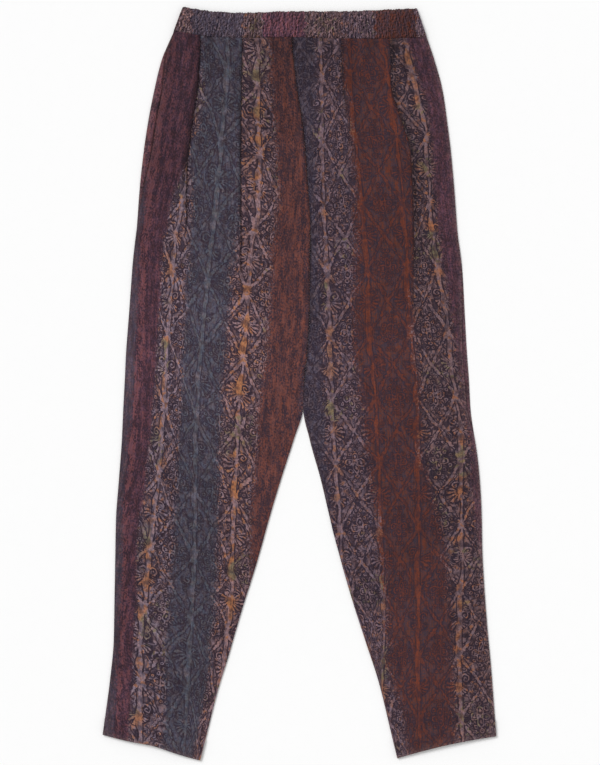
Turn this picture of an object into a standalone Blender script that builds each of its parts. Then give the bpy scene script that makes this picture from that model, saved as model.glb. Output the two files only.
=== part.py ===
"""Harem pants laid flat on their back: two front panels with knife pleats, two back panels, a gathered
elastic waistband in a front and a back half, and the facing of the side pocket that gapes open.

Run with: blender --background --python part.py

The pants lie in the XY plane with the front up. +Y runs to the waist, +Z up, and +X to the wearer's left.
The origin is on the surface they lie on, under the middle of their outline. Sizes below are in millimetres.
"""

import math
from collections import namedtuple

import bmesh
import bpy

MM = 0.001

# Cloth. The back panels lie on the surface and the front panels lie on them.
WALL = 1.0  # one layer of panel cloth
GAP = 0.3  # between neighbouring pieces, and between the layers of a pleat
LAYER = WALL + GAP  # from one layer of a pleat to the next
HEM_WALL = 2.0  # cloth turned up at the ankle
HEM_DEPTH = 22.0
HEM_STEP = 1.5  # length of the step where the turned-up cloth ends
HEM_ARCH = 3.0  # rise of the wearer's left hem between its corners

# Loft of the front over the back
PUFF = 2.2  # height of a front panel's middle over its edges
CENTRE_LIFT = 1.0  # height of the centre front seam over the side seams
WAIST_LIFT = 1.6  # brings the panels' top edges up to the thick waistband
WAIST_FADE = 70.0  # length over which that lift dies out
WAIST_FLATTENING = 0.7  # share of the puff that the waistband takes away at the top
CROTCH_Y = -33.0

# Waistband: cloth folded over elastic
BAND_WALL = 2.6
BAND_EDGE = 0.72  # share of the wall left at the band's rounded edges
GATHERS = 75  # waves across the front half
GATHER_STEPS = 4  # columns in each wave
GATHER_HEIGHT = 0.8  # of a wave, up or down

# Side pocket on the wearer's right: its facing shows past the front panel's gaping edge
POCKET_TOP, POCKET_BOTTOM = 452.0, 268.0
FACING_WIDTH = 30.0
POCKET_FLAT = 33.0  # the front panel is lifted clear of the facing this far in from the edge
POCKET_FADE = 18.0  # and comes down again over this width
POCKET_FADE_DOWN = 50.0

# Pleats
RISE = 14.0  # length over which the cloth rises onto a pleat
LEVEL_SHARE = 0.3  # least share of the way to a pleat's turn before that rise
RISE_CLEAR = 2.0  # from the end of that rise to the pleat's inner turn
RIDGE = 0.5  # depth that stands for a pleat opened to a ridge, with no fold under it
RIDGE_RUN = 1.5  # length over which such a ridge comes down
ARC_STEPS = 4  # segments in each half-round turn
PAST_FOLD = 18.0  # from an opened pleat's fold line to its last column
OUTER_STEPS, BETWEEN_STEPS, INNER_STEPS = 3, 3, 5
BACK_STEPS = 12

# The outline, from the waistband down: the side edge, the centre or inner leg edge, and how far the front
# panel's edge sets back from the back panel's at each.
Section = namedtuple("Section", "outer_x outer_y inner_x inner_y outer_set inner_set")
RIGHT_LEG = [
    Section(-171, 481, -10, 472, 0, 0),
    Section(-188, 440, -8, 440, 5, 0),
    Section(-198, 399, -3, 399, 11, 0),
    Section(-206, 358, 4, 358, 11, 0),
    Section(-212, 318, 8, 318, 11, 0),
    Section(-218, 263, 12, 263, 5, 0),
    Section(-222, 209, 15, 209, 0, 0),
    Section(-228, 154, 14, 154, 0, 0),
    Section(-232, 100, 14, 100, 1, 0),
    Section(-236, 46, 11, 46, 0, 0),
    Section(-238, 5, 7, 5, 0, 0),
    Section(-240, -33, 5, -33, 0, 0),
    Section(-242, -77, -8, -77, 0, 0),
    Section(-246, -131, -26, -133, 0, 0),
    Section(-250, -186, -43, -190, 0, 0),
    Section(-251, -240, -59, -247, 0, 0),
    Section(-252, -294, -77, -304, 0, 0),
    Section(-253, -349, -94, -362, 0, 0),
    Section(-258, -403, -112, -421, 0, 0),
    Section(-268, -478, -135, -513, 0, 0),
]
LEFT_LEG = [
    Section(173, 473, -10, 472, 0, 0),
    Section(184, 440, -8, 440, 0, 0),
    Section(195, 399, -3, 399, 0, 0),
    Section(201, 358, 4, 358, 0, 0),
    Section(206, 318, 8, 318, 0, 0),
    Section(211, 263, 12, 263, 0, 0),
    Section(215, 209, 15, 209, 0, 0),
    Section(222, 154, 14, 154, 1, 0),
    Section(225, 100, 14, 100, 4, 0),
    Section(228, 46, 11, 46, 6, 0),
    Section(231, 5, 7, 5, 6, 0),
    Section(233, -33, 5, -33, 5, 0),
    Section(239, -77, 14, -77, 0, 2),
    Section(245, -124, 29, -131, 0, 2),
    Section(248, -175, 42, -186, 0, 0),
    Section(249, -226, 56, -240, 0, 0),
    Section(252, -281, 71.5, -294, 0, 0),
    Section(256, -333, 89.5, -350, 0, 0),
    Section(261, -387, 108, -407, 0, 0),
    Section(268, -480, 133, -510, 0, 0),
]

# A knife pleat, from the waistband down: where its folded edge lies and how deep it folds under. Where the
# depth is 0 it has opened out flat, and the row only keeps the panel's columns evenly spread.
Fold = namedtuple("Fold", "y x depth")
RIGHT_PLEATS = [
    [
        Fold(476, -136, 16),
        Fold(440, -137, 15),
        Fold(399, -140, 12),
        Fold(358, -147, 8),
        Fold(318, -152, 5),
        Fold(263, -155, 1.4),
        Fold(209, -155, RIDGE),
        Fold(154, -157, 0),
        Fold(-500, -220, 0),
    ],
    [
        Fold(472, -79, 9),
        Fold(399, -80, 8),
        Fold(318, -81, 5),
        Fold(209, -81, 1.4),
        Fold(154, -81, RIDGE),
        Fold(100, -84, 0),
        Fold(-33, -95, 0),
        Fold(-500, -178, 0),
    ],
]
LEFT_PLEATS = [
    [
        Fold(471, 124, 11),
        Fold(399, 127, 9),
        Fold(358, 140, 7),
        Fold(318, 152, 5),
        Fold(209, 157, 3),
        Fold(100, 156, RIDGE),
        Fold(46, 157, 0),
        Fold(-500, 222, 0),
    ],
    [
        Fold(471, 58, 5),
        Fold(399, 60, 3),
        Fold(358, 67, 1),
        Fold(318, 70, RIDGE),
        Fold(263, 73, 0),
        Fold(-33, 95, 0),
        Fold(-500, 180, 0),
    ],
]

# The waistband, from the wearer's right end to the left end: its lower seam and its top edge
Band = namedtuple("Band", "low_x low_y top_x top_y")
BAND = [
    Band(-171, 481, -159, 513),
    Band(-154, 477.5, -143, 510.5),
    Band(-136, 474.5, -127, 508),
    Band(-112, 472.2, -105, 506),
    Band(-82, 471, -78, 505),
    Band(-10, 472, -9, 507),
    Band(60, 470, 57, 507),
    Band(120, 470, 112, 509),
    Band(173, 473, 160, 511),
]

# Base colour and roughness
COLOURS = {
    "batik_cloth": ((0.085, 0.050, 0.062), 0.85),
    "waistband_cloth": ((0.100, 0.070, 0.085), 0.88),
    "pocket_cloth": ((0.140, 0.060, 0.070), 0.85),
}


def clear_scene():
    for obj in list(bpy.data.objects):
        bpy.data.objects.remove(obj)


def mix(a, b, share):
    return a + (b - a) * share


def ease(share):
    """0 to 1 with level ends."""
    share = min(max(share, 0.0), 1.0)
    return share * share * (3 - 2 * share)


def steps(start, end, count):
    """count values that run on from start, which is left out, to end."""
    return [mix(start, end, (i + 1) / count) for i in range(count)]


def slope_at(rows, key, column, i):
    """Slope of a column against the key at row i, level where the column turns back."""
    slopes = []
    for above, below in zip(rows[max(i - 1, 0) : i + 1], rows[max(i, 1) : i + 2]):
        run = getattr(below, key) - getattr(above, key)
        slopes.append((getattr(below, column) - getattr(above, column)) / run)
    if len(slopes) == 1:
        return slopes[0]
    if slopes[0] * slopes[1] <= 0:
        return 0.0
    return 2 * slopes[0] * slopes[1] / (slopes[0] + slopes[1])


def row_at(rows, key, value):
    """A smooth table's row where its falling or rising column key has this value, held past either end."""
    keys = [getattr(row, key) for row in rows]
    if not min(keys) < value < max(keys):
        return min(rows, key=lambda row: abs(getattr(row, key) - value))
    i = next(i for i in range(len(rows) - 1) if min(keys[i : i + 2]) <= value <= max(keys[i : i + 2]))
    run = keys[i + 1] - keys[i]
    share = (value - keys[i]) / run
    values = []
    for column in rows[0]._fields:
        low, high = getattr(rows[i], column), getattr(rows[i + 1], column)
        leaving = slope_at(rows, key, column, i) * run - (high - low)
        arriving = slope_at(rows, key, column, i + 1) * run - (high - low)
        bend = share * (1 - share) * ((1 - share) * leaving - share * arriving)
        values.append(mix(low, high, share) + bend)
    return type(rows[0])(*values)


def with_hem(leg):
    """The leg's sections, with two more where the hem's turned-up cloth begins."""
    above, hem = leg[-2], leg[-1]
    length = above.outer_y - hem.outer_y
    cuts = [1 - (HEM_DEPTH + HEM_STEP) / length, 1 - HEM_DEPTH / length]
    made = [Section(*(mix(a, b, cut) for a, b in zip(above, hem))) for cut in cuts]
    return leg[:-1] + made + [hem]


def is_hem(index, sections):
    """Whether a section bounds the turned-up cloth."""
    return index >= len(sections) - 2


def arches(index, sections, section):
    """Whether a section bounds the wearer's left hem or the step above it."""
    return index >= len(sections) - 3 and section.outer_x > 0


def edge_y(index, sections, section, x, share):
    """The y of a section's line at x, a share of the way in from its outer edge."""
    y = mix(section.outer_y, section.inner_y, share)
    if index == 0:
        return row_at(BAND, "low_x", x).low_y - GAP
    if arches(index, sections, section):
        return y + HEM_ARCH * math.sin(math.pi * share)
    return y


def half_turn(t, z, towards):
    """Points of a half-round turn down one layer, centred at t and z and bulging towards +1, in, or -1, out."""
    angles = [math.pi * i / ARC_STEPS for i in range(1, ARC_STEPS + 1)]
    return [(t + towards * LAYER / 2 * math.sin(a), z + LAYER / 2 * math.cos(a)) for a in angles]


def pleated_profile(width, folds):
    """(distance in from the outer edge, height) of the points across a front panel, pleats included."""
    points = [(0.0, 0.0)]
    for number, (fold, depth) in enumerate(folds):
        start = points[-1][0]
        turn = fold - depth
        run_in = max(turn - RISE, mix(start, turn, LEVEL_SHARE))
        level = OUTER_STEPS if number == 0 else BETWEEN_STEPS
        points += [(t, 0.0) for t in steps(start, run_in, level)]
        block = [(mix(run_in, turn - RISE_CLEAR, 0.5), LAYER), (turn - RISE_CLEAR, 2 * LAYER)]
        block += [(fold, 2 * LAYER)] + half_turn(fold, 1.5 * LAYER, 1)
        block += [(turn, LAYER)] + half_turn(turn, 0.5 * LAYER, -1)
        if depth == 0:
            block = [(t, 0.0) for t in steps(run_in, fold + PAST_FOLD, len(block))]
        elif depth <= RIDGE:
            down = steps(0, 1, len(block) - 3)
            block[3:] = [(fold + RIDGE_RUN * share, 2 * LAYER * (1 - share)) for share in down]
        points += block
    return points + [(t, 0.0) for t in steps(points[-1][0], width, INNER_STEPS)]


def loft(share, in_from_edge, section, hem, pocket):
    """Height of a front panel's middle surface over that of a back panel's, before its pleats."""
    y = mix(section.outer_y, section.inner_y, share)
    waist = 1 - ease((RIGHT_LEG[0].inner_y - y) / WAIST_FADE)
    centre = CENTRE_LIFT * share * ease((section.inner_y - CROTCH_Y) / WAIST_FADE)
    puff = PUFF * math.sin(math.pi * share) * (1 - WAIST_FLATTENING * waist)
    height = LAYER + centre + WAIST_LIFT * waist + puff
    if hem:
        height += 1.5 * (HEM_WALL - WALL)
    if pocket:
        down = 1 - ease((POCKET_BOTTOM - section.outer_y) / POCKET_FADE_DOWN)
        inward = 1 - ease((in_from_edge - POCKET_FLAT) / POCKET_FADE)
        height += LAYER * down * inward * (1 - waist)
    return height


def add_cell(mesh, corners, forward):
    """Two triangles of a cell; layers folded back get the other diagonal, so that they stay parallel."""
    a, b, c, d = corners
    halves = ((a, b, c), (a, c, d)) if forward else ((a, b, d), (b, c, d))
    for half in halves:
        mesh.faces.new(half)


def wall_object(name, material, faces_up, faces_down):
    """A closed wall between two grids of points in millimetres, alike in rows and columns."""
    mesh = bmesh.new()
    up = [[mesh.verts.new([c * MM for c in point]) for point in row] for row in faces_up]
    down = [[mesh.verts.new([c * MM for c in point]) for point in row] for row in faces_down]
    rows, columns = len(up), len(up[0])
    inward = 1 if faces_up[0][0][0] < faces_up[0][-1][0] else -1
    for i in range(rows - 1):
        for j in range(columns - 1):
            forward = inward * (faces_up[i][j + 1][0] - faces_up[i][j][0]) > 0
            for grid in (up, down):
                corners = (grid[i][j], grid[i][j + 1], grid[i + 1][j + 1], grid[i + 1][j])
                add_cell(mesh, corners, forward)
    for j in range(columns - 1):
        mesh.faces.new((up[0][j], down[0][j], down[0][j + 1], up[0][j + 1]))
        mesh.faces.new((up[-1][j], up[-1][j + 1], down[-1][j + 1], down[-1][j]))
    for i in range(rows - 1):
        mesh.faces.new((up[i][0], up[i + 1][0], down[i + 1][0], down[i][0]))
        mesh.faces.new((up[i][-1], down[i][-1], down[i + 1][-1], up[i + 1][-1]))
    return finish_object(name, material, mesh)


def finish_object(name, material, mesh):
    bmesh.ops.recalc_face_normals(mesh, faces=mesh.faces)
    data = bpy.data.meshes.new(name)
    mesh.to_mesh(data)
    mesh.free()
    data.shade_smooth()
    data.set_sharp_from_angle(angle=math.radians(50))
    data.materials.append(material)
    obj = bpy.data.objects.new(name, data)
    bpy.context.scene.collection.objects.link(obj)
    return obj


def cloth_material(name):
    colour, roughness = COLOURS[name]
    material = bpy.data.materials.new(name)
    material.use_nodes = True
    shader = material.node_tree.nodes["Principled BSDF"]
    shader.inputs["Base Color"].default_value = (*colour, 1.0)
    shader.inputs["Roughness"].default_value = roughness
    shader.inputs["Metallic"].default_value = 0.0
    return material


def front_panel(name, material, leg, pleats, pocket):
    """A front panel: a wall whose cross-sections fold under themselves at each pleat."""
    sections = with_hem(leg)
    inward = 1 if leg[0].outer_x < leg[0].inner_x else -1
    up, down = [], []
    for index, section in enumerate(sections):
        hem = is_hem(index, sections)
        edge = section.outer_x + inward * section.outer_set
        side = section.inner_x - inward * (section.inner_set + GAP / 2)
        width = abs(side - edge)
        folds = []
        for pleat in pleats:
            fold = row_at(pleat, "y", mix(section.outer_y, section.inner_y, 0.5))
            folds.append((inward * (fold.x - edge), fold.depth))
        flat = pleated_profile(width, folds)
        line = [
            (t, z + WALL / 2 + loft(t / width, t + section.outer_set, section, hem, pocket))
            for t, z in flat
        ]
        half = (HEM_WALL if hem else WALL) / 2
        up_row, down_row = [], []
        for j, (t, z) in enumerate(line):
            before, after = line[max(j - 1, 0)], line[min(j + 1, len(line) - 1)]
            along, rise = after[0] - before[0], after[1] - before[1]
            size = math.hypot(along, rise)
            for row, side_of in ((up_row, half), (down_row, -half)):
                at = t - side_of * rise / size
                x = edge + inward * at
                y = edge_y(index, sections, section, x, at / width)
                row.append((x, y, z + side_of * along / size))
        up.append(up_row)
        down.append(down_row)
    return wall_object(name, material, up, down)


def back_panel(name, material, leg):
    """A back panel: a flat wall on the surface, thicker at its hem."""
    sections = with_hem(leg)
    inward = 1 if leg[0].outer_x < leg[0].inner_x else -1
    up, down = [], []
    for index, section in enumerate(sections):
        top = HEM_WALL if is_hem(index, sections) else WALL
        shares = [j / BACK_STEPS for j in range(BACK_STEPS + 1)]
        side = section.inner_x - inward * GAP / 2
        line = []
        for share in shares:
            x = mix(section.outer_x, side, share)
            line.append((x, edge_y(index, sections, section, x, share)))
        up.append([(x, y, top) for x, y in line])
        down.append([(x, y, 0.0) for x, y in line])
    return wall_object(name, material, up, down)


def gather(share, row):
    """Height of the gathers at a share of the way round the front half, uneven as elastic draws them up."""
    drift = 0.004 * math.sin(23 * share) + 0.0025 * math.sin(61 * share + 1.3)
    phase = 2 * math.pi * GATHERS * (share + drift) + 0.9 * row * math.sin(17 * share)
    return GATHER_HEIGHT * math.sin(phase) * (0.8 + 0.2 * math.sin(41 * share + row))


def waistband(name, material, floor, columns, gathered):
    """Half of the waistband: a rounded strip standing on the height floor, gathered on top if asked."""
    # share of the band's depth from its seam, share of its wall, and of the gathers' height
    ring = [(0.0, BAND_EDGE, 0.4), (0.2, 1.0, 1.0), (0.5, 1.0, 1.0), (0.8, 1.0, 1.0), (1.0, BAND_EDGE, 0.4)]
    mesh = bmesh.new()
    loops = []
    for i in range(columns + 1):
        share = i / columns
        band = row_at(BAND, "low_x", mix(BAND[0].low_x, BAND[-1].low_x, share))
        heights = [
            floor + BAND_WALL * wall + (waves * gather(share, row) if gathered else 0.0)
            for row, (_, wall, waves) in enumerate(ring)
        ]
        points = [(band.low_x, band.low_y, floor)]
        for (depth, _, _), height in zip(ring, heights):
            points.append((mix(band.low_x, band.top_x, depth), mix(band.low_y, band.top_y, depth), height))
        points.append((band.top_x, band.top_y, floor))
        loops.append([mesh.verts.new([c * MM for c in point]) for point in points])
    for loop, following in zip(loops, loops[1:]):
        for k in range(len(loop)):
            m = (k + 1) % len(loop)
            mesh.faces.new((loop[k], loop[m], following[m], following[k]))
    mesh.faces.new(loops[0])
    mesh.faces.new(list(reversed(loops[-1])))
    return finish_object(name, material, mesh)


def pocket_facing(name, material):
    """The strip of the pocket that lies on the back panel and shows past the front panel's edge."""
    between = [section.outer_y for section in RIGHT_LEG if POCKET_BOTTOM < section.outer_y < POCKET_TOP]
    up, down = [], []
    for y in [POCKET_TOP, *between, POCKET_BOTTOM]:
        edge = row_at(RIGHT_LEG, "outer_y", y).outer_x
        row = [(edge + t, y) for t in (0, FACING_WIDTH / 2, FACING_WIDTH)]
        up.append([(x, y, LAYER + WALL) for x, y in row])
        down.append([(x, y, LAYER) for x, y in row])
    return wall_object(name, material, up, down)


def main():
    clear_scene()
    cloth = cloth_material("batik_cloth")
    band = cloth_material("waistband_cloth")
    pocket = cloth_material("pocket_cloth")
    front_panel("front_panel_right", cloth, RIGHT_LEG, RIGHT_PLEATS, pocket=True)
    front_panel("front_panel_left", cloth, LEFT_LEG, LEFT_PLEATS, pocket=False)
    back_panel("back_panel_right", cloth, RIGHT_LEG)
    back_panel("back_panel_left", cloth, LEFT_LEG)
    waistband("waistband_front", band, BAND_WALL + GAP, GATHERS * GATHER_STEPS, gathered=True)
    waistband("waistband_back", band, 0.0, 24, gathered=False)
    pocket_facing("pocket_facing_right", pocket)


main()
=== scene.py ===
"""Looks of the harem pants: cloth shells over the part's solids, batik print, stitches and studio.

The tables repeat the part's own sizes in millimetres, so that every shell lies in its solid's place. The
pants lie in the XY plane with the front up. +Y runs to the waist and +X to the wearer's left.
"""

import math
from collections import namedtuple

import bpy
import numpy as np
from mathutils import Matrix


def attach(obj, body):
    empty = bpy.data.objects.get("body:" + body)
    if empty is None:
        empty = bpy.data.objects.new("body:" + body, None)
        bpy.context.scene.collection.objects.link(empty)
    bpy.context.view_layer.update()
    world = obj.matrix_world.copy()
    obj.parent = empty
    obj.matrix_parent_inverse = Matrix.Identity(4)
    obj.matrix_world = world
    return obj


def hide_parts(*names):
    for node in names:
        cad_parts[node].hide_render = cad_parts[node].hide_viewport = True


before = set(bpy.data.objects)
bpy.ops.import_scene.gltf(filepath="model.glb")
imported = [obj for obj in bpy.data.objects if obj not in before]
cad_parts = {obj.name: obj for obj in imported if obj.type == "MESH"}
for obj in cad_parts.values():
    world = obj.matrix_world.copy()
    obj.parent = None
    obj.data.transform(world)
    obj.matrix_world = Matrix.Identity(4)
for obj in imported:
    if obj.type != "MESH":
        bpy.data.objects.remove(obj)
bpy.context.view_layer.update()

MM = 0.001

# ---- Sizes that the part also has ----

WALL = 1.0
GAP = 0.3
LAYER = WALL + GAP
HEM_WALL = 2.0
HEM_DEPTH = 22.0
HEM_STEP = 1.5
HEM_ARCH = 3.0
PUFF = 2.2
CENTRE_LIFT = 1.0
WAIST_LIFT = 1.6
WAIST_FADE = 70.0
WAIST_FLATTENING = 0.7
CROTCH_Y = -33.0
BAND_WALL = 2.6
BAND_EDGE = 0.72
GATHERS = 75
POCKET_TOP, POCKET_BOTTOM = 452.0, 268.0
FACING_WIDTH = 30.0
POCKET_FLAT = 33.0
POCKET_FADE = 18.0
POCKET_FADE_DOWN = 50.0
RISE = 14.0
LEVEL_SHARE = 0.3
RISE_CLEAR = 2.0
RIDGE = 0.5  # a fold no deeper than this is a ridge
RIDGE_RUN = 1.5
PAST_FOLD = 18.0  # from where a pleat has run out to where its points end


def table(kind, *rows):
    """Named tuples of one kind."""
    return [kind(*row) for row in rows]


# From the waistband down: side edge, centre or inner leg edge, and set-backs of the front panel's edges
Section = namedtuple("Section", "outer_x outer_y inner_x inner_y outer_set inner_set", defaults=(0, 0))
RIGHT_LEG = table(
    Section,
    (-171, 481, -10, 472), (-188, 440, -8, 440, 5), (-198, 399, -3, 399, 11),
    (-206, 358, 4, 358, 11), (-212, 318, 8, 318, 11), (-218, 263, 12, 263, 5),
    (-222, 209, 15, 209), (-228, 154, 14, 154), (-232, 100, 14, 100, 1),
    (-236, 46, 11, 46), (-238, 5, 7, 5), (-240, -33, 5, -33),
    (-242, -77, -8, -77), (-246, -131, -26, -133), (-250, -186, -43, -190),
    (-251, -240, -59, -247), (-252, -294, -77, -304), (-253, -349, -94, -362),
    (-258, -403, -112, -421), (-268, -478, -135, -513),
)
LEFT_LEG = table(
    Section,
    (173, 473, -10, 472), (184, 440, -8, 440), (195, 399, -3, 399),
    (201, 358, 4, 358), (206, 318, 8, 318), (211, 263, 12, 263),
    (215, 209, 15, 209), (222, 154, 14, 154, 1), (225, 100, 14, 100, 4),
    (228, 46, 11, 46, 6), (231, 5, 7, 5, 6), (233, -33, 5, -33, 5),
    (239, -77, 14, -77, 0, 2), (245, -124, 29, -131, 0, 2), (248, -175, 42, -186),
    (249, -226, 56, -240), (252, -281, 71.5, -294), (256, -333, 89.5, -350),
    (261, -387, 108, -407), (268, -480, 133, -510),
)

# Knife pleats, from the waistband down: the folded edge and how deep it folds under
Fold = namedtuple("Fold", "y x depth")
RIGHT_PLEATS = [
    table(
        Fold, (476, -136, 16), (440, -137, 15), (399, -140, 12), (358, -147, 8), (318, -152, 5),
        (263, -155, 1.4), (209, -155, RIDGE), (154, -157, 0), (-500, -220, 0),
    ),
    table(
        Fold, (472, -79, 9), (399, -80, 8), (318, -81, 5), (209, -81, 1.4), (154, -81, RIDGE),
        (100, -84, 0), (-33, -95, 0), (-500, -178, 0),
    ),
]
LEFT_PLEATS = [
    table(
        Fold, (471, 124, 11), (399, 127, 9), (358, 140, 7), (318, 152, 5), (209, 157, 3),
        (100, 156, RIDGE), (46, 157, 0), (-500, 222, 0),
    ),
    table(
        Fold, (471, 58, 5), (399, 60, 3), (358, 67, 1), (318, 70, RIDGE), (263, 73, 0),
        (-33, 95, 0), (-500, 180, 0),
    ),
]

# The waistband, from the wearer's right end to the left end: its lower seam and its top edge
Band = namedtuple("Band", "low_x low_y top_x top_y")
BAND = table(
    Band,
    (-171, 481, -159, 513), (-154, 477.5, -143, 510.5), (-136, 474.5, -127, 508),
    (-112, 472.2, -105, 506), (-82, 471, -78, 505), (-10, 472, -9, 507),
    (60, 470, 57, 507), (120, 470, 112, 509), (173, 473, 160, 511),
)

# ---- Sizes of the shells ----

CLOTH = 0.66  # one layer of the real cloth
SEAM_CLOTH = 0.9  # where a seam allowance lies behind it
SEAM_REACH = 5.0
HEM_CLOTH = 1.7
ROW_STEP = 3.2
OUTER_STEPS, BETWEEN_STEPS, INNER_STEPS = 24, 18, 30
ARC_STEPS = 6
BACK_STEPS = 76
BAND_STEP = 0.7
BAND_ROWS = 26
STITCH_UP = 16.0  # the hem's line of stitches above the hem's edge
STITCH_RUN, STITCH_LENGTH, STITCH_WIDTH = 3.2, 2.3, 0.4
STITCH_END = 2.5  # free of stitches at either end of a hem
UNDER_BACK = 0.06  # from the surface the pants lie on to the cloth
FACING_ROWS, FACING_STEPS = 62, 40

# ---- The print ----

STEM = 55.0  # from one stem of the print to the next across the cloth
REPEAT = 91.0  # length of its repeat along the cloth

# Where the print's stems run on the laid front, from the waist down: y, how far along the cloth the next
# stem lies towards the side, then x of each stem. Numbers count the stems across the cloth.
Stems = namedtuple("Stems", "numbers rows")
RIGHT_STEMS = Stems(
    (1, 2),
    [
        (480, 55, -98, -57), (430, 54, -98.5, -57),
        (400, 53, -100, -57), (350, 51.5, -105, -56),
        (320, 50, -108, -55), (298, 50, -110.5, -55),
        (230, 51, -116, -57), (182, 50, -121, -66),
        (87, 46.5, -131, -72), (-22, 45, -139, -82),
        (-104, 48, -142, -86), (-214, 59, -143, -91),
        (-295, 65, -146, -93), (-350, 68, -149, -101),
        (-432, 64, -153, -105), (-515, 57, -160, -110),
    ],
)
LEFT_STEMS = Stems(
    (0, 1, 2, 3),
    [
        (480, 55, 28, 66, 110, 142), (430, 55, 29, 68, 118, 152),
        (387, 55, 30, 70, 124, 163), (346, 55, 30, 74, 129, 171),
        (307, 55, 31, 78, 134, 173), (227, 55, 33, 86, 142, 179),
        (147, 55, 38, 93, 147, 190), (75, 55, 41, 95, 150, 202),
        (3, 55, 43, 100, 158, 209), (-80, 55, 46, 105, 161, 220),
        (-164, 55, 53, 109, 161, 220), (-253, 55, 58, 113, 161, 221),
        (-330, 55, 62, 115, 161, 218), (-380, 55, 64, 112, 161, 218),
        (-515, 55, 68, 112, 163, 222),
    ],
)
# y where the print's repeat ends along its reference stem, and how much lower each next stem to +X has it
Repeats = namedtuple("Repeats", "ends first skew stem")
RIGHT_REPEATS = Repeats((519, 425, 331, 230, 141, 50, -46, -141, -238, -320, -418, -514), -5, 16.4, 1)
LEFT_REPEATS = Repeats(tuple(range(506, -551, -88)), -6, -2, 0)

# The stripes' edges, in stems across the cloth, from the waist down: y, then one edge after another
RIGHT_STRIPES = [
    (480, -1.6, -0.12, 0.3, 1.49, 2.33), (430, -1.55, -0.12, 0.33, 1.49, 2.34),
    (402, -1.5, -0.11, 0.46, 1.49, 2.36), (352, -1.4, -0.1, 0.35, 1.5, 2.4),
    (320, -1.3, -0.09, 0.18, 1.51, 2.43), (298, -1.2, -0.1, 0.22, 1.52, 2.45),
    (262, -1.08, -0.27, 0.33, 1.54, 2.48), (230, -0.97, -0.31, 0.4, 1.55, 2.5),
    (87, -0.93, -0.3, 0.46, 1.57, 2.57), (-60, -0.97, -0.34, 0.5, 1.59, 2.5),
    (-159, -0.85, -0.36, 0.52, 1.6, 2.45), (-214, -0.65, -0.32, 0.52, 1.6, 2.45),
    (-296, -0.49, -0.18, 0.52, 1.6, 2.45), (-364, -0.42, -0.13, 0.52, 1.6, 2.45),
    (-432, -0.51, -0.2, 0.52, 1.6, 2.45), (-515, -0.62, -0.31, 0.52, 1.6, 2.45),
]
LEFT_STRIPES = [
    (480, -0.12, 0.73, 2.45, 3.05), (430, -0.12, 0.78, 2.35, 3.1),
    (387, -0.12, 0.85, 2.28, 3.14), (346, -0.13, 0.87, 2.4, 3.15),
    (307, -0.14, 0.86, 2.45, 3.16), (250, -0.16, 0.82, 2.43, 3.16),
    (190, -0.17, 0.72, 2.33, 3.17), (130, -0.19, 0.64, 2.15, 3.18),
    (87, -0.2, 0.58, 2.1, 3.18), (-90, -0.2, 0.76, 2.12, 3.25),
    (-214, -0.2, 0.95, 2.6, 3.42), (-290, -0.2, 1.04, 2.74, 3.8),
    (-350, -0.2, 1.12, 2.83, 4.1), (-418, -0.2, 1.38, 2.84, 4.2),
    (-515, -0.2, 1.68, 2.86, 4.2),
]

APART = 20  # stems between the places on the cloth that the pieces are cut from

# Where the front's drawing turns gold, or holds back from it: x, y, its reach up and down, how much
GOLD_WIDE = 24  # its reach sideways
GOLD = [
    (-60, 330, 42, 1), (-141, 385, 34, 1.8), (-62, 165, 50, -1.2), (-74, 25, 55, 1.3),
    (-84, -85, 42, 1), (-86, -241, 36, 1), (-120, -400, 90, -1), (-205, -268, 68, 1),
    (-191, 155, 34, 1), (45, 46, 40, 1), (45, -111, 40, 1), (116, -371, 34, 1),
    (220, -159, 40, 1), (187, 196, 34, 1), (157, 271, 34, 1),
]

# Where the front's cloth is brighter or darker, and over what reach
Tone = namedtuple("Tone", "x y wide long gain")
TONES = table(
    Tone,
    (-130, 40, 150, 150, 0.22), (-232, 30, 16, 90, 0.24), (-245, -440, 18, 50, 0.2),
    (-195, -330, 35, 90, 0.09), (-86, -240, 20, 50, 0.06), (115, 30, 60, 150, 0.08),
    (165, -380, 50, 90, 0.1), (219, 45, 14, 90, -0.1), (-22, 400, 32, 100, -0.2),
    (-64, 150, 22, 80, -0.06),
)


def mix(a, b, share):
    return a + (b - a) * share


def joined(*parts):
    """Grids of numbers put together as one grid of vectors."""
    return np.stack(parts, axis=-1)


def new_mesh(name, points, faces):
    """A mesh of points in millimetres."""
    mesh = bpy.data.meshes.new(name)
    mesh.from_pydata((points * MM).tolist(), [], faces)
    return mesh


def new_object(name, data):
    obj = bpy.data.objects.new(name, data)
    bpy.context.scene.collection.objects.link(obj)
    return obj


def bell(distance, reach):
    """1 at no distance, fading to 0 well past the reach."""
    return np.exp(-((distance / reach) ** 2))


def ease(share):
    """0 to 1 with level ends."""
    share = np.clip(share, 0.0, 1.0)
    return share * share * (3 - 2 * share)


def steps(start, end, count):
    """count values that run on from start, which is left out, to end."""
    return [mix(start, end, (i + 1) / count) for i in range(count)]


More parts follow.
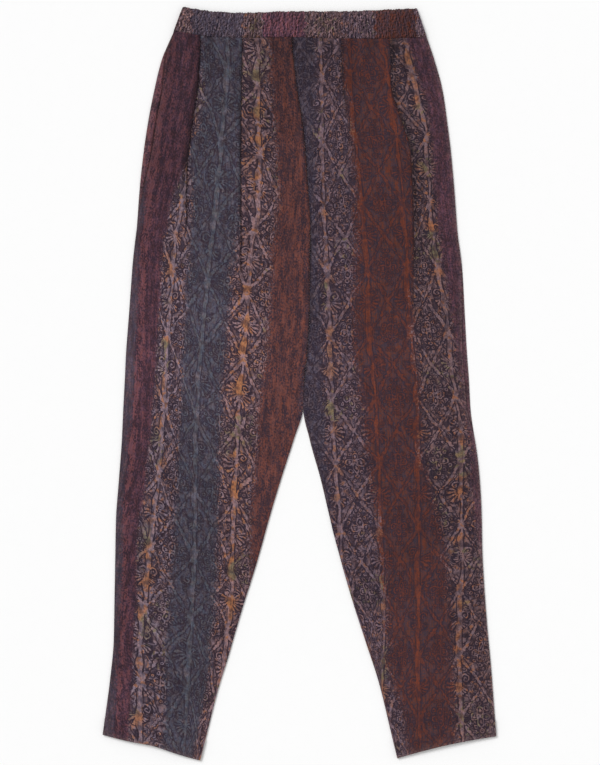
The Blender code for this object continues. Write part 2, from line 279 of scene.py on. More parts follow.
def smooth_rows(rows, at, key=0):
    """A table's rows at other values of its rising or falling key column, held past either end."""
    rows, at = np.asarray(rows, float), np.asarray(at, float)
    keys = rows[:, key]
    if keys[0] > keys[-1]:
        keys, at = -keys, -at
    runs = np.diff(keys)
    slopes = np.diff(rows, axis=0) / runs[:, None]
    product = slopes[:-1] * slopes[1:]
    total = np.where(product > 0, slopes[:-1] + slopes[1:], 1.0)
    inner = np.where(product > 0, 2 * product / total, 0.0)
    slopes_at = np.concatenate([slopes[:1], inner, slopes[-1:]])
    at = np.clip(at, keys[0], keys[-1])
    i = np.clip(np.searchsorted(keys, at, side="right") - 1, 0, len(keys) - 2)
    run = runs[i][:, None]
    share = ((at - keys[i]) / runs[i])[:, None]
    rise = rows[i + 1] - rows[i]
    leaving = slopes_at[i] * run - rise
    arriving = slopes_at[i + 1] * run - rise
    bend = share * (1 - share) * ((1 - share) * leaving - share * arriving)
    return rows[i] + rise * share + bend


def with_hem(sections):
    """A leg's sections, with two more where the hem's turned-up cloth begins."""
    above, hem = sections[-2:]
    length = above.outer_y - hem.outer_y
    cuts = 1 - (HEM_DEPTH + HEM_STEP) / length, 1 - HEM_DEPTH / length
    made = [Section(*(mix(a, b, cut) for a, b in zip(above, hem))) for cut in cuts]
    return sections[:-1] + made + [hem]


def row_keys(sections):
    """The outer_y of every row of a shell: the sections' own, and even steps between them."""
    keys = []
    for above, below in zip(sections, sections[1:]):
        count = max(1, round((above.outer_y - below.outer_y) / ROW_STEP))
        keys += [mix(above.outer_y, below.outer_y, i / count) for i in range(count)]
    return np.array(keys + [sections[-1].outer_y])


# A leg: inward is 1 or -1 along X, keys are the rows of its shells, pocket is whether its pocket is open
Leg = namedtuple("Leg", "inward sections keys pleats pocket stems repeats stripes first_stripe")


def whole_leg(inward, sections, *others):
    sections = with_hem(sections)
    return Leg(inward, sections, row_keys(sections), *others)


RIGHT = whole_leg(1, RIGHT_LEG, RIGHT_PLEATS, True, RIGHT_STEMS, RIGHT_REPEATS, RIGHT_STRIPES, 0)
LEFT = whole_leg(-1, LEFT_LEG, LEFT_PLEATS, False, LEFT_STEMS, LEFT_REPEATS, LEFT_STRIPES, 6)


def level(start, end, count, z=0.0):
    """Points that run on from start, which is left out, to end at a height."""
    return [(t, z) for t in steps(start, end, count)]


def half_turn(t, z, towards):
    """Points of a half-round turn down one layer, centred at t and z; towards is 1 in, -1 out."""
    angles = [math.pi * i / ARC_STEPS for i in range(1, ARC_STEPS + 1)]
    return [(t + towards * LAYER / 2 * math.sin(a), z + LAYER / 2 * math.cos(a)) for a in angles]


def pleated_profile(width, folds):
    """(distance in from the outer edge, height) of the points across a front panel, pleats included."""
    points = [(0.0, 0.0)]
    for (fold, depth), count in zip(folds, (OUTER_STEPS, BETWEEN_STEPS)):
        start, turn = points[-1][0], fold - depth
        run_in = max(turn - RISE, mix(start, turn, LEVEL_SHARE))
        points += level(start, run_in, count)
        rise = [(mix(run_in, turn - RISE_CLEAR, s), 2 * LAYER * ease(s)) for s in (0.25, 0.5, 0.75, 1)]
        rise += level(turn - RISE_CLEAR, fold, 4, 2 * LAYER)
        under = half_turn(fold, 1.5 * LAYER, 1) + level(fold, turn, 3, LAYER)
        under += half_turn(turn, 0.5 * LAYER, -1)
        if depth == 0:
            points += level(run_in, fold + PAST_FOLD, len(rise) + len(under))
        elif depth <= RIDGE:
            down = steps(0, 1, len(under))
            points += rise + [(fold + RIDGE_RUN * share, 2 * LAYER * (1 - share)) for share in down]
        else:
            points += rise + under
    return points + level(points[-1][0], width, INNER_STEPS)


def loft(share, in_from_edge, section, hem, pocket):
    """Height of a front panel's middle surface over that of a back panel's, before its pleats."""
    y = mix(section.outer_y, section.inner_y, share)
    waist = 1 - ease((RIGHT_LEG[0].inner_y - y) / WAIST_FADE)
    centre = CENTRE_LIFT * share * ease((section.inner_y - CROTCH_Y) / WAIST_FADE)
    puff = PUFF * np.sin(np.pi * share) * (1 - WAIST_FLATTENING * waist)
    height = LAYER + centre + WAIST_LIFT * waist + puff
    if hem:
        height += 1.5 * (HEM_WALL - WALL)
    if pocket:
        down = 1 - ease((POCKET_BOTTOM - section.outer_y) / POCKET_FADE_DOWN)
        inward = 1 - ease((in_from_edge - POCKET_FLAT) / POCKET_FADE)
        height += LAYER * down * inward * (1 - waist)
    return height


def band_low_y(x):
    """The waistband's lower seam at x."""
    return smooth_rows(BAND, x.ravel())[:, 1].reshape(x.shape)


def edge_lines(leg, x, share, outer_y, inner_y):
    """The y of every point of a shell, with the curved seam at the top and the arched hem."""
    top, second, above, hem_top = (leg.sections[i] for i in (0, 1, -4, -3))
    y = mix(outer_y[:, None], inner_y[:, None], share)
    fade = np.clip((leg.keys - second.outer_y) / (top.outer_y - second.outer_y), 0, 1)[:, None]
    high = np.flatnonzero(fade[:, 0] > 0)
    y[high] += fade[high] * (band_low_y(x[high]) - GAP - mix(top.outer_y, top.inner_y, share[high]))
    rise = np.clip((above.outer_y - leg.keys) / (above.outer_y - hem_top.outer_y), 0, 1)[:, None]
    arch = np.sin(np.pi * share) if leg is LEFT else bell(share - 0.52, 0.2)
    return y + rise * HEM_ARCH * arch


def hem_share(leg):
    """0 above the hem's turned-up cloth and 1 on it, for every row."""
    start, end = leg.sections[-3].outer_y, leg.sections[-2].outer_y
    return ease((start - leg.keys) / (start - end))[:, None]


# ---- Relief ----

# Soft ridges (height over 0) and troughs, from one end to the other, by half width
Crease = namedtuple("Crease", "x0 y0 x1 y1 width height")
CREASES = table(
    Crease,
    (-136, 250, -158, 40, 7, 0.7), (-81, 180, -92, -20, 6, 0.6), (70, 330, 84, 120, 6, 0.6),
    (156, 120, 158, -40, 7, 0.7), (-200, 120, -170, -140, 12, 0.7), (-30, 40, -95, -60, 11, -0.8),
    (-12, -20, -70, -130, 9, 0.7), (20, 30, 90, -70, 10, -0.8), (18, -40, 70, -160, 9, 0.7),
    (-190, -180, -176, -420, 12, 0.6), (-120, -150, -140, -400, 11, -0.6),
    (120, -120, 160, -380, 12, 0.6), (200, -60, 205, -330, 11, -0.6), (-40, 440, -34, 250, 8, -0.5),
    (24, 445, 30, 280, 8, 0.5), (100, 440, 112, 300, 8, -0.5), (-160, 440, -172, 330, 6, 0.5),
)


def crease_height(x, y):
    """Height of all the creases at every point."""
    height = np.zeros_like(x)
    for c in CREASES:
        dx, dy = c.x1 - c.x0, c.y1 - c.y0
        length = math.hypot(dx, dy)
        along = ((x - c.x0) * dx + (y - c.y0) * dy) / length
        across = ((x - c.x0) * dy - (y - c.y0) * dx) / length
        across += 3.0 * np.sin(along / 31.0 + c.x0)
        ends = ease(along / (0.35 * length)) * ease((length - along) / (0.35 * length))
        height += c.height * ends * bell(across, c.width)
    return height


def wander(x, y):
    """Low, uneven undulation of cloth that has been smoothed by hand, about -1 to 1."""
    a = np.sin(x / 17.0 + 2.1 * np.sin(y / 83.0)) * np.sin(y / 61.0 + 1.3 * np.sin(x / 47.0))
    b = np.sin(x / 9.3 + 1.7 * np.sin(y / 39.0) + 1.0) * np.sin(y / 27.0 + x / 70.0)
    c = np.sin(x / 33.0 - y / 51.0 + 0.7) * np.sin(y / 113.0 + 2.0)
    return 0.45 * a + 0.25 * b + 0.3 * c


def puckers(x, below):
    """Short vertical puckers under the waistband's seam, by the distance below it."""
    wave = np.sin(x / 1.9 + 1.6 * np.sin(x / 13.0)) * (0.65 + 0.35 * np.sin(x / 7.1 + 0.6))
    slow = np.sin(x / 4.3 + 1.1 * np.sin(x / 29.0) + 0.8)
    return 0.55 * wave * np.exp(-below / 9.0) + 0.6 * slow * bell(below, 26.0)


# ---- Shells ----


def normals_of(points):
    """Unit normals of a grid of points, pointing up at its outer edge."""
    down, across = np.gradient(points, axis=(0, 1))
    normal = np.cross(across, down)
    normal /= np.maximum(np.linalg.norm(normal, axis=2, keepdims=True), 1e-9)
    first = normal[:, : 1 + OUTER_STEPS // 2, 2].mean()
    return -normal if first < 0 else normal


def lay_out(mesh, faces, rows, columns, across, outer):
    """Gives a wall its map: the outer face as two strips, the rims and the inner face."""
    count = rows * columns
    below = faces >= count
    row, column = np.divmod(faces % count, columns)
    wide = (across / across[:, -1:])[row, column]
    long = row / (rows - 1)
    half = rows // 2
    second = (row.min(axis=1) >= half)[:, None]
    part = np.where(second, (row - half) / (rows - 1 - half), row / half)
    grid = (rows - 1) * (columns - 1)
    kinds = np.repeat(np.arange(6), [grid, grid, columns - 1, columns - 1, rows - 1, rows - 1])[:, None]
    rim = 0.836 + 0.01 * (kinds - 2) + 0.005 * below
    is_outer, is_rim = kinds == (0 if outer == "up" else 1), kinds > 1
    face = np.where(is_outer, 0.002 + 0.418 * second + 0.408 * wide, 0.88 + 0.118 * wide)
    u = np.where(is_rim, rim, face)
    v = np.where(is_rim, np.where(kinds < 4, wide, long), np.where(is_outer, part, long))
    layer = mesh.uv_layers.new(name="OFBake")
    layer.data.foreach_set("uv", joined(u, 0.002 + 0.996 * v).astype(np.float32).ravel())


def wall(name, up, down, order, across, outer):
    """A closed mesh between two grids of points in millimetres, each face's corners in an order."""
    rows, columns = up.shape[:2]
    count = rows * columns
    index = np.arange(count).reshape(rows, columns)
    top = joined(index[:-1, :-1], index[:-1, 1:], index[1:, 1:], index[1:, :-1]).reshape(-1, 4)
    faces = [top, top[:, ::-1] + count]
    for line, flip in ((index[0], False), (index[-1], True), (index[:, 0], True), (index[:, -1], False)):
        rim = joined(line[:-1], line[:-1] + count, line[1:] + count, line[1:])
        faces.append(rim[:, ::-1] if flip else rim)
    faces = np.concatenate(faces)[:, order]
    mesh = new_mesh(name, np.concatenate([up.reshape(-1, 3), down.reshape(-1, 3)]), faces.tolist())
    lay_out(mesh, faces, rows, columns, across, outer)
    return mesh


def shell(name, middle, half, prints, wear, across, shade=1.0, gold=0.0, outer="up"):
    """A closed wall round a grid of points in millimetres, with what put_attributes takes for each."""
    normal = normals_of(middle) * half[..., None]
    up, down = middle + normal, middle - normal
    upward = np.cross(up[0, 1] - up[0, 0], up[1, 0] - up[0, 0])[2] >= 0
    mesh = wall(name, up, down, [0, 1, 2, 3] if upward else [3, 2, 1, 0], across, outer)
    put_attributes(mesh, prints, wear, shade, gold)
    return mesh


def put_attributes(mesh, prints, wear, shade, gold=0.0):
    """The print's place, and how worn and golden the cloth is and how bright, painted shade included, on
    both faces of a wall.
    """
    wear_shade_gold = joined(*np.broadcast_arrays(wear, shade, gold))
    # the wear attribute holds wear, brightness with its painted shade, and gold
    for name, values in (("print", prints), ("wear", wear_shade_gold)):
        held = mesh.attributes.new(name, "FLOAT_VECTOR", "POINT")
        held.data.foreach_set("vector", np.concatenate([values.ravel()] * 2).astype(np.float32))


def dress(name, mesh, material, node=None):
    """Puts a mesh into the scene as a piece that rides on the garment and stands for a node."""
    mesh.shade_smooth()
    mesh.set_sharp_from_angle(angle=math.radians(55))
    mesh.materials.append(material)
    obj = new_object(name, mesh)
    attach(obj, "root")
    if node:
        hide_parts(node)
    return obj


def fold_at(pleat, y):
    """x and depth of a pleat's fold at each y."""
    return smooth_rows(pleat, y)[:, 1:]


def front_rows(leg):
    """The front panel's middle surface by rows: distances in, heights, edge, width, both ends' y."""
    rows = []
    for index, section in enumerate(leg.sections):
        hem = index >= len(leg.sections) - 2
        edge = section.outer_x + leg.inward * section.outer_set
        side = section.inner_x - leg.inward * (section.inner_set + GAP / 2)
        width = abs(side - edge)
        middle = mix(section.outer_y, section.inner_y, 0.5)
        folds = [fold_at(pleat, [middle])[0] for pleat in leg.pleats]
        folds = [(leg.inward * (x - edge), depth) for x, depth in folds]
        t, z = np.array(pleated_profile(width, folds)).T
        z = z + WALL / 2 + loft(t / width, t + section.outer_set, section, hem, leg.pocket)
        rows.append(np.r_[t, z, edge, width, section.outer_y, section.inner_y])
    fine = smooth_rows(rows, leg.keys, key=-2)
    columns = len(t)
    return fine[:, :columns], fine[:, columns : 2 * columns], *fine[:, -4:].T


def unfolded(t, z):
    """Distance along the cloth from its outer edge, for every point of every row."""
    return np.cumsum(np.hypot(np.diff(t, prepend=t[:, :1]), np.diff(z, prepend=z[:, :1])), axis=1)


def print_coordinates(leg, along, t, y, edge, offset):
    """The print's place across and along the cloth in millimetres, and the stripe, for every point."""
    stem_x, edges = (smooth_rows(rows, y.mean(axis=1))[:, 1:] for rows in (leg.stems.rows, leg.stripes))
    u, stripe = np.zeros_like(t), np.zeros_like(t)
    for r in range(len(t)):
        shown = np.r_[True, t[r, 1:] > np.maximum.accumulate(t[r])[:-1] + 1e-6]
        at = np.interp(leg.inward * (stem_x[r, 1:] - edge[r]), t[r, shown], along[r, shown])
        at, numbers = at[:: leg.inward], np.array(leg.stems.numbers, float)[:: leg.inward]
        at = np.r_[at[0] - 10 * stem_x[r, 0], at, at[-1] + 10 * STEM]
        numbers = np.r_[numbers[0] - 10 * leg.inward, numbers, numbers[-1] + 10 * leg.inward]
        u[r] = np.interp(along[r], at, numbers)
        knots = np.r_[edges[r][0] - 1, edges[r], edges[r][-1] + 1]
        stripe[r] = np.interp(u[r], knots, np.arange(len(knots)))
    raised = y + leg.repeats.skew * (u - leg.repeats.stem)
    ends = -np.array(leg.repeats.ends, float)
    v = np.interp(-raised, ends, leg.repeats.first + np.arange(len(ends)))
    return joined((u + offset) * STEM, v * REPEAT, stripe + leg.first_stripe)


def spot(x, y, at_x, at_y, wide, long):
    """1 at a place, fading to 0 around it."""
    return bell(np.hypot((x - at_x) / wide, (y - at_y) / long), 1)


def gold_share(x, y):
    """1 where the front's print turns gold, fading to 0, and -1 where it never does."""
    spots = [much * spot(x, y, at_x, at_y, GOLD_WIDE, long) for at_x, at_y, long, much in GOLD]
    return np.max(spots, axis=0) + np.min(spots, axis=0)


def front_shade(leg, x, y, from_centre, below, pucker):
    """How bright the front's cloth is: lighter and darker places, painted shade under the waistband and
    in its puckers, a dark line at the seam, and painted shade beside the folds.
    """
    shade = np.ones_like(x)
    for tone in TONES:
        shade += tone.gain * spot(x, y, tone.x, tone.y, tone.wide, tone.long)
    shade *= waist_shade(below, pucker)
    shade *= 1 - 0.16 * bell(x + 255, 12) * ease((-250 - y) / 100) * ease((y + 440) / 50)
    shade *= 1 - 0.12 * ease((-140 - x) / 30) * ease((y - 240) / 80)
    shade *= 1 - 0.5 * bell(from_centre, 1.6) * ease((y - CROTCH_Y) / 40)
    # painted shade beside each pleat's folded edge: wide on the layer above, narrow past the fold
    for pleat, dark, shadow in zip(leg.pleats, (0.5, 0.4), (5.5, 2.2)):
        fold = fold_at(pleat, y.mean(axis=1))
        past = leg.inward * (x - fold[:, :1])
        deep = np.clip((fold[:, 1:] - 0.2) / 3.0, 0, 1)
        shade *= 1 - dark * deep * bell(past, np.where(past > 0, 1.5, shadow))
    return shade


def waist_shade(below, pucker):
    """Painted shade close under the waistband, by the distance below it; its puckers painted darker in
    their hollows and lighter on their ridges.
    """
    return 1 - 0.12 * bell(below, 60) + 0.22 * pucker


def half_wall(t, width, hem):
    """Half the thickness of a panel's cloth: more beside its seams and on its hem."""
    near_side = np.clip(bell(t, SEAM_REACH) + bell(width - t, SEAM_REACH), 0, 1)
    return mix(mix(CLOTH, SEAM_CLOTH, near_side), HEM_CLOTH, hem) / 2


def hem_stitches(name, x, y, z, proud, thread):
    """A line of stitches over one face of a hem, at its height z, standing proud of it by so much."""
    row = np.argmin(np.abs(y.mean(axis=1) - y[-1].mean() - STITCH_UP))
    order = np.argsort(x[row])
    line_x, line_y, line_z = x[row, order], y[row, order], z[row, order]
    last = line_x[-1] - STITCH_END - STITCH_LENGTH
    starts = np.arange(line_x[0] + STITCH_END, last, STITCH_RUN)[:, None]
    # a stitch: one point, two rings of four and one more point
    sink = -0.4 * proud
    beside, above = [STITCH_WIDTH / 2, 0, -STITCH_WIDTH / 2, 0], [0, proud, 0, sink]
    at = starts + STITCH_LENGTH * np.array([0.0] + 4 * [0.22] + 4 * [0.78] + [1.0])
    off_line = 0.12 * np.sin(2.4 * np.arange(len(starts)))[:, None]
    y_at = np.interp(at, line_x, line_y) + off_line + [0, *beside, *beside, 0]
    z_at = np.interp(at, line_x, line_z) + [sink, *above, *above, sink]
    faces = []
    for base in range(0, at.size, 10):
        for k in range(4):
            a, b = base + 1 + k, base + 1 + (k + 1) % 4
            faces += [(base, b, a), (a, b, b + 4, a + 4), (a + 4, b + 4, base + 9)]
    if proud < 0:
        faces = [face[::-1] for face in faces]
    mesh = new_mesh(name, joined(at, y_at, z_at).reshape(-1, 3), faces)
    return dress("hem_stitches_" + name.replace("_panel", ""), mesh, thread)


def front_panel(name, leg, cloth, thread, offset):
    """A front panel's cloth, with its knife pleats, and its hem's stitches."""
    t, z, edge, width, outer_y, inner_y = front_rows(leg)
    width = width[:, None]
    share = t / width
    x = edge[:, None] + leg.inward * t
    y = edge_lines(leg, x, share, outer_y, inner_y)
    along = unfolded(t, z)
    prints = print_coordinates(leg, along, t, y, edge, offset)
    room = np.sin(np.pi * np.clip(share, 0, 1)) ** 0.6
    below = band_low_y(x) - GAP - y
    hem = hem_share(leg)
    z = z + room * (crease_height(x, y) + 0.35 * wander(x, y)) * (1 - 0.7 * hem)
    pucker = puckers(x, below)
    z = z + room**0.5 * pucker
    half = half_wall(t, width, hem)
    wear = np.exp(-t / 3.0) * (0.25 if leg.pocket else 1.0) + np.exp(-np.abs(y - y[-1]) / 3.0)
    shade = front_shade(leg, x, y, width - t, below, pucker)
    # painted shadow along the front panel's edge at the pocket's open mouth
    if leg.pocket:
        shade *= 1 - 0.35 * bell(t, 1.2) * ease((y - 200) / 60)
    mesh = shell(name, joined(x, y, z), half, prints, wear, along, shade, gold_share(x, y))
    return dress(name + "_cloth", mesh, cloth, name), hem_stitches(name, x, y, z + half, 0.2, thread)


def back_panel(name, leg, cloth, thread, offset):
    """A back panel's plain cloth, which the pants lie on, and its hem's stitches."""
    fine = smooth_rows(leg.sections, leg.keys, key=1)
    share = np.tile(np.linspace(0, 1, BACK_STEPS + 1), (len(leg.keys), 1))
    outer_x, outer_y, inner_x, inner_y = fine[:, :4].T
    side = inner_x - leg.inward * GAP / 2
    x = mix(outer_x[:, None], side[:, None], share)
    y = edge_lines(leg, x, share, outer_y, inner_y)
    t = leg.inward * (x - outer_x[:, None])
    width = np.abs(side - outer_x)[:, None]
    hem = hem_share(leg)
    room = np.sin(np.pi * share) ** 0.6
    below = band_low_y(x) - GAP - y
    pucker = puckers(x + 3, below)
    relief = 0.45 * np.abs(crease_height(-0.9 * x - 12, y + 20)) + 0.3 * (1 + wander(x + 40, y)) / 2
    relief = relief * room * (1 - hem) + 0.25 * room * np.abs(pucker)
    half = half_wall(t, width, hem)
    z = UNDER_BACK + half + relief
    prints = print_coordinates(leg, t, t, y, outer_x, offset)
    wear = np.exp(-np.minimum(t, width - t) / 3.0) + np.exp(-np.abs(y - y[-1]) / 3.0)
    shade = waist_shade(below, pucker)
    mesh = shell(name, joined(x, y, z), half, prints, wear, t, shade, outer="down")
    return dress(name + "_cloth", mesh, cloth, name), hem_stitches(name, x, y, z - half, -0.05, thread)


# The waistband's cloth, cut apart from the panels': x where a stripe starts, which one it is, how bright
BAND_STRIPES = [
    (-180, 9.5, 0.95), (-147, 6.5, 0.93), (-77, 4.5, 0.6), (-50, 1.5, 1.16),
    (8, 9.5, 0.84), (58, 7.5, 0.75), (103, 8.5, 0.78), (124, 8.5, 0.72),
    (158, 7.5, 0.95),
]


def gather(share, depth, phase=0.0):
    """Height of the gathers over the band, -1 to 1, by the share round the half and down its depth."""
    drift = 0.004 * np.sin(23 * share) + 0.0025 * np.sin(61 * share + 1.3)
    lean = 1.1 * np.sin(17 * share + 2.0 * depth) + 0.8 * np.sin(39 * share - 5.0 * depth)
    lean = lean + 1.3 * np.sin(15.0 * depth + 71 * share) * np.sin(47 * share + 1.0)
    wave = np.sin(2 * np.pi * GATHERS * (share + drift) + lean + phase)
    finer = np.sin(2 * np.pi * GATHERS * 1.62 * share + 2.5 * np.sin(29 * share + 4 * depth) + phase)
    uneven = 0.62 + 0.38 * np.sin(41 * share + 3.0 * depth + phase)
    return 0.72 * wave * uneven + 0.28 * finer


def crumple(x, y):
    """Small uneven puckers across the gathers, about -1 to 1."""
    a = np.sin(x / 0.62 + 1.9 * np.sin(y / 1.7 + x / 8.0))
    a = a * np.sin(y / 0.95 + 2.1 * np.sin(x / 2.3) + x / 5.0)
    b = np.sin(x / 0.93 - y / 1.3 + 1.6 * np.sin(x / 4.1 + y / 3.0))
    b = b * np.sin(x / 1.7 + y / 2.1 + 2.0 * np.sin(x / 6.3))
    return 0.7 * a + 0.5 * b


def waistband(name, material, lowest, gathered, offset):
    """One half of the waistband with its elastic; the back half's gathers are underneath."""
    length = BAND[-1].low_x - BAND[0].low_x
    columns = round(length / BAND_STEP)
    share = np.arange(columns + 1) / columns
    at = smooth_rows(BAND, BAND[0].low_x + share * length)
    depth = np.linspace(0, 1, BAND_ROWS + 1)[None, :]
    from_edge = np.minimum(depth, 1 - depth)
    rounding = np.interp(from_edge, [0, 0.06, 0.14, 0.24, 0.36], [BAND_EDGE, 0.86, 0.95, 1.0, 1.02])
    waves = gather(share[:, None], depth, 0.0 if gathered else 1.9)
    fade = 0.35 + 0.65 * np.sin(np.pi * np.clip(depth, 0.03, 0.97)) ** 0.5
    x = mix(at[:, 0:1], at[:, 2:3], depth)
    y = mix(at[:, 1:2], at[:, 3:4], depth)
    crumpled = crumple(x, y)
    if gathered:
        height = lowest + BAND_WALL * rounding + (0.7 * waves + 0.2 * crumpled) * fade
        under = np.full_like(height, lowest)
    else:
        height = np.full_like(x, lowest + BAND_WALL - 0.1) - 0.6 * (1 - rounding)
        under = lowest + UNDER_BACK + 0.36 * (1 + waves) * fade + 1.2 * (1 - rounding)
    y = y + (0.6 * waves + 0.4 * np.sin(x / 2.9 + 2 * np.sin(x / 11.0))) * depth**4
    outer = "up" if gathered else "down"
    across = np.tile(depth, (len(x), 1))
    mesh = wall(name, joined(x, y, height), joined(x, y, under), [0, 3, 2, 1], across, outer)
    starts = [start for start, *_ in BAND_STRIPES]
    ragged = x + 2 * np.sin(y / 3.3 + x / 9) + 1.3 * np.sin(y / 1.9 - x / 5)
    here = np.clip(np.searchsorted(starts, ragged, side="right") - 1, 0, len(starts) - 1)
    _, stripe, bright = np.moveaxis(np.array(BAND_STRIPES)[here], -1, 0)
    prints = joined(1.45 * x + 0.9 * waves + offset * STEM, y + 17, stripe)
    wear = np.exp(-((1 - depth) * 35) / 2.5) * np.ones_like(x) * 0.5
    # painted shade: darker at the band's rounded top and bottom edges and in the hollows of its gathers
    # and crumples, lighter on their ridges; bright is each stripe's own tone
    edges = 1 - 0.22 * bell(depth, 0.05) - 0.3 * bell(1 - depth, 0.05)
    golden = 1.9 * bell(x + 62, 7) + 1.2 * bell(x - 32, 16) - 1.4
    put_attributes(mesh, prints, wear, bright * edges * (1 + 0.36 * waves + 1.0 * crumpled), golden)
    return dress(name + "_cloth", mesh, material, name)


def facing(name, material, offset):
    """The strip of the pocket's facing that shows in the pocket's open mouth."""
    keys = np.linspace(POCKET_TOP, POCKET_BOTTOM, FACING_ROWS)
    t, y = np.meshgrid(np.linspace(0, FACING_WIDTH, FACING_STEPS + 1), keys)
    side = smooth_rows(RIGHT_LEG, keys, key=1)
    x = side[:, :1] + t
    z = np.full_like(x, LAYER + WALL / 2) + 0.05 * np.sin(y / 9.0 + x / 6.0)
    half = np.full_like(x, CLOTH / 2)
    prints = joined(t + (offset - 0.45) * STEM, y + 20, np.full_like(x, 1.3))
    # a little brighter, with painted shadow beside the front panel's edge, which lies over the facing
    shade = 1.12 - 0.95 * bell(np.maximum(side[:, 4:5] - t, 0), 1.9)
    mesh = shell(name, joined(x, y, z), half, prints, np.exp(-t / 3.0), t, shade)
    return dress(name + "_cloth", mesh, material, name)


# ---- Shader ----


def linear(code, gain=1.0):
    """A colour written as six hex digits, as linear values."""
    values = [int(code[i : i + 2], 16) / 255 for i in (0, 2, 4)]
    return tuple(gain * (v / 12.92 if v <= 0.04045 else ((v + 0.055) / 1.055) ** 2.4) for v in values)


def math_node(operation):
    """A method of Number that adds a Math node, fed with the number and what it is called with."""

    def added(number, *others):
        return number.nodes.number("Math", enumerate((number, *others)), operation=operation)

    return added


class Number:
    """A socket that can be used in arithmetic; each operation adds a Math node."""

    def __init__(self, nodes, socket):
        self.nodes, self.socket = nodes, socket

    __add__ = __radd__ = math_node("ADD")
    __mul__ = __rmul__ = math_node("MULTIPLY")
    __sub__ = math_node("SUBTRACT")
    least, most = math_node("MINIMUM"), math_node("MAXIMUM")
    size, sine, power = math_node("ABSOLUTE"), math_node("SINE"), math_node("POWER")
    back_and_forth, wrap, angle = math_node("PINGPONG"), math_node("WRAP"), math_node("ARCTAN2")

    def __rsub__(self, other):
        return self * -1.0 + other

    def wrapped(self, half):
        """The number brought back to between -half and half."""
        return self.wrap(half, -half)


def length(a, b):
    return (a * a + b * b).power(0.5)


class Nodes:
    """A new material, and the shader nodes that are added to it."""

    def __init__(self, name):
        self.material = bpy.data.materials.new(name)
        self.material.use_nodes = True
        self.tree = self.material.node_tree
        self.tree.nodes.clear()

    def feed(self, slot, value):
        value = value.socket if isinstance(value, Number) else value
        if isinstance(value, bpy.types.NodeSocket):
            self.tree.links.new(value, slot)
        elif isinstance(value, tuple) and len(value) == 3 and slot.type == "RGBA":
            slot.default_value = (*value, 1.0)
        else:
            slot.default_value = value

    def node(self, kind, inputs=(), **settings):
        node = self.tree.nodes.new("ShaderNode" + kind)
        for name, value in settings.items():
            setattr(node, name, value)
        for name, value in dict(inputs).items():
            self.feed(node.inputs[name], value)
        return node

    def number(self, kind, inputs, **settings):
        """The first output of a new node."""
        return Number(self, self.node(kind, inputs, **settings).outputs[0])

    def surface(self, inputs):
        """The material itself, once its one shader has these inputs."""
        shader = self.node("BsdfPrincipled", inputs)
        self.node("OutputMaterial", {0: shader.outputs[0]})
        return self.material

    def where(self):
        return self.node("TexCoord").outputs["Object"]

    def attribute(self, name):
        return self.node("Attribute", attribute_name=name, attribute_type="GEOMETRY").outputs["Vector"]

    def noise(self, vector, size, detail=1.0, rough=0.5):
        """Noise, about 0 to 1, whose spots are so large."""
        inputs = {"Vector": vector, "Scale": 1 / size, "Detail": detail, "Roughness": rough}
        return self.number("TexNoise", inputs, noise_dimensions="2D")

    def step(self, value, low, high, start=0.0, end=1.0):
        """From start to end as the value goes from low to high."""
        inputs = {"Value": value, "From Min": low, "From Max": high, "To Min": start, "To Max": end}
        return self.number("MapRange", inputs, interpolation_type="SMOOTHSTEP")

    def blend(self, share, a, b, kind="MIX"):
        inputs = {0: share, 6: a, 7: b}
        return self.node("Mix", inputs, data_type="RGBA", blend_type=kind).outputs[2]

    def ramp(self, value, stops):
        """The colour and the strength that a ramp of stops has at a value."""
        node = self.node("ValToRGB", {0: value})
        elements = node.color_ramp.elements
        for i, (at, colour) in enumerate(stops):
            element = elements[i] if i < 2 else elements.new(at)
            element.position = at
            element.color = colour
        return node.outputs[0], Number(self, node.outputs[1])

    def vector(self, operation, *values):
        return self.node("VectorMath", enumerate(values), operation=operation).outputs[0]

    def parts(self, vector):
        return [Number(self, output) for output in self.node("SeparateXYZ", {0: vector}).outputs]

    def shaken(self, vector, by, size, most):
        """The vector, moved about by noise of a size, by up to half of most each way."""
        inputs = {"Vector": by, "Scale": 1 / size, "Detail": 0.0}
        noise = self.node("TexNoise", inputs, noise_dimensions="2D").outputs[1]
        centred = self.vector("SUBTRACT", noise, (0.5, 0.5, 0.5))
        return self.vector("MULTIPLY_ADD", centred, (most, most, 0.0), vector)


# Each stripe's ground, line, accent and speckle colour, and how clearly its drawing and filling show
Stripe = namedtuple("Stripe", "ground line accent speck drawing filling")
STRIPES = table(
    Stripe,
    ("382f39", "524750", "5e4952", "463c46", 0.3, 0.15),  # 0 navy
    ("32232c", "643f47", "6c4347", "4f3440", 0.4, 0.2),  # 1 maroon
    ("332832", "84717a", "9c6948", "463841", 1.0, 0.85),  # 2 floral gold
    ("3a303c", "555760", "675f68", "484450", 0.95, 0.6),  # 3 teal
    ("362932", "8d7174", "a0693f", "4a3a41", 1.0, 0.85),  # 4 floral
    ("372931", "70453d", "74463e", "623b36", 0.35, 0.3),  # 5 rust
    ("2c2430", "5d535d", "6a5d66", "3d3440", 0.75, 0.7),  # 6 slate
    ("312732", "7a646b", "8c6048", "41333c", 1.0, 0.8),  # 7 mauve
    ("3d3039", "6a3729", "623327", "4d3230", 1.0, 0.34),  # 8 rust left
    ("2e242c", "7b6264", "946040", "3d2f36", 1.0, 0.8),  # 9 floral left
    ("36262f", "67434c", "6e4550", "503641", 0.5, 0.34),  # 10 purple
)
LAST_STRIPE = len(STRIPES)
BLUR = 0.06  # share of a stripe over which it runs into the next
OLIVE = "776a4c"
SHADE = "281e29"
WORN = "8d7673"
CASTS = (0.93, 1.0, 1.1), (1.1, 0.98, 0.9)
THREAD, THREAD_LIGHT = "2a2027", "44343c"
WEAVE = 0.85  # length of the bump's waves, in millimetres
